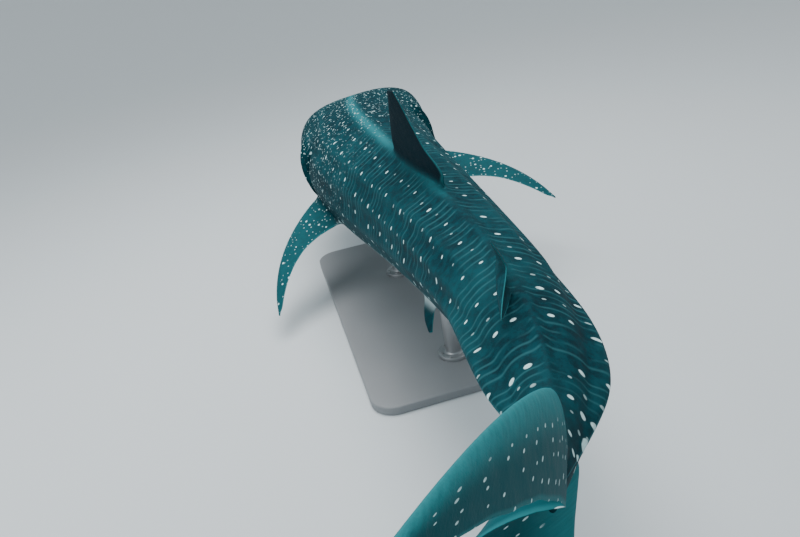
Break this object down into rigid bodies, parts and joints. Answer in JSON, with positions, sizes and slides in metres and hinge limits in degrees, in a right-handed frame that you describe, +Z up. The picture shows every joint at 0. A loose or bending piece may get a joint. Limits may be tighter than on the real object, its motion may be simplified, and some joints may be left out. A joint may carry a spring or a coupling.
{
  "type": "whale shark",
  "caption": "Life-size whale shark swimming with its tail swung to its left, held over a flat base by two rods.",
  "frame": {"origin": "centre of the display base's underside, on the floor", "axes": "+Z up, the head towards -Y and the tail towards +Y, the shark's right side towards -X"},
  "size_m": [1.8887, 5.8327, 1.8891],
  "materials": {
    "hide": "wet, dark blue-grey with pale spots and bars",
    "fin_hide": "wet, dark blue-grey with pale spots",
    "eye": "glossy",
    "stand_metal": "brushed",
    "stand_paint": "satin"
  },
  "bodies": {
    "root": {"head": "hide", "eye_left": "eye", "eye_right": "eye", "gill_region": "hide", "trunk_front": "hide", "trunk_rear": "hide", "tail_stock": "hide", "dorsal_fin_first": "fin_hide", "dorsal_fin_second": "fin_hide", "anal_fin": "fin_hide", "pectoral_fin_left": "fin_hide", "pectoral_fin_right": "fin_hide", "pelvic_fin_left": "fin_hide", "pelvic_fin_right": "fin_hide", "tail_fin_upper": "fin_hide", "tail_fin_lower": "fin_hide", "stand_base": "stand_paint", "stand_rod_front": "stand_metal", "stand_rod_rear": "stand_metal"}
  },
  "joints": []
}
